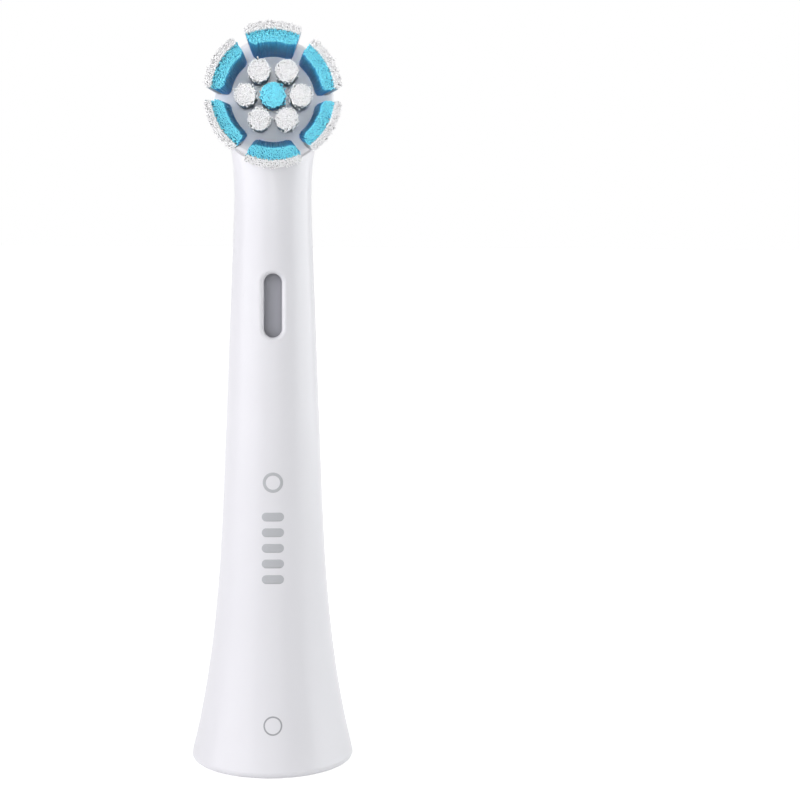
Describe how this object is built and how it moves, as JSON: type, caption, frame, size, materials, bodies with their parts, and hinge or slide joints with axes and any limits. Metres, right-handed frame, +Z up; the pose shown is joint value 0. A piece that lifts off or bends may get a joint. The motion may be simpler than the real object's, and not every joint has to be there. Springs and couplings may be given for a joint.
{
  "type": "electric toothbrush head",
  "caption": "Round oscillating electric toothbrush head with blue and white bristle tufts on a turning carrier, a slim flared hollow neck and a handle socket in its foot.",
  "frame": {"origin": "centre of the handle socket's mouth, level with the rim that the head stands on", "axes": "+Z up along the neck towards the brush, -Y the way the bristles point, +X to the right seen from the front"},
  "size_m": [0.018, 0.0216, 0.0802],
  "materials": {
    "white_housing": "moulded white polypropylene, satin gloss",
    "grey_insert": "moulded grey acetal, matt",
    "grey_rod": "moulded grey acetal, matt",
    "carrier": "moulded light grey acetal, satin",
    "blue_bristle": "end-rounded blue nylon filaments",
    "white_bristle": "end-rounded white nylon filaments",
    "steel": "drawn stainless steel wire and pin stock",
    "magnet_steel": "plated steel disc"
  },
  "bodies": {
    "housing": {"neck_housing": "white_housing", "connector_insert": "grey_insert", "axle_pin": "steel", "retaining_pin": "steel", "return_spring": "steel"},
    "rod": {"drive_rod": "grey_rod", "drive_pin": "steel", "coupling_magnet": "magnet_steel"},
    "brush": {"brush_carrier": "carrier", "outer_blue_tuft_1": "blue_bristle", "outer_blue_tuft_2": "blue_bristle", "outer_blue_tuft_3": "blue_bristle", "outer_blue_tuft_4": "blue_bristle", "outer_blue_tuft_5": "blue_bristle", "outer_blue_tuft_6": "blue_bristle", "centre_tuft": "blue_bristle", "outer_white_tuft_1": "white_bristle", "outer_white_tuft_2": "white_bristle", "outer_white_tuft_3": "white_bristle", "outer_white_tuft_4": "white_bristle", "outer_white_tuft_5": "white_bristle", "outer_white_tuft_6": "white_bristle", "inner_tuft_1": "white_bristle", "inner_tuft_2": "white_bristle", "inner_tuft_3": "white_bristle", "inner_tuft_4": "white_bristle", "inner_tuft_5": "white_bristle", "inner_tuft_6": "white_bristle"}
  },
  "joints": [
    {"name": "brush_oscillation", "type": "hinge", "parent": "housing", "child": "brush", "pos_m": [0, 0, 0.07285], "axis": [0, -1, 0], "range_deg": [-20, 20]},
    {"name": "rod_slide", "type": "slide", "parent": "housing", "child": "rod", "axis": [0, 0, 1], "range_m": [-0.00082, 0.00082], "stiffness_N_per_m": 200, "deforming": ["return_spring"]}
  ],
  "couplings": [
    {"joint": "brush_oscillation", "follows": "rod_slide", "rad_per_m": 421.9}
  ]
}
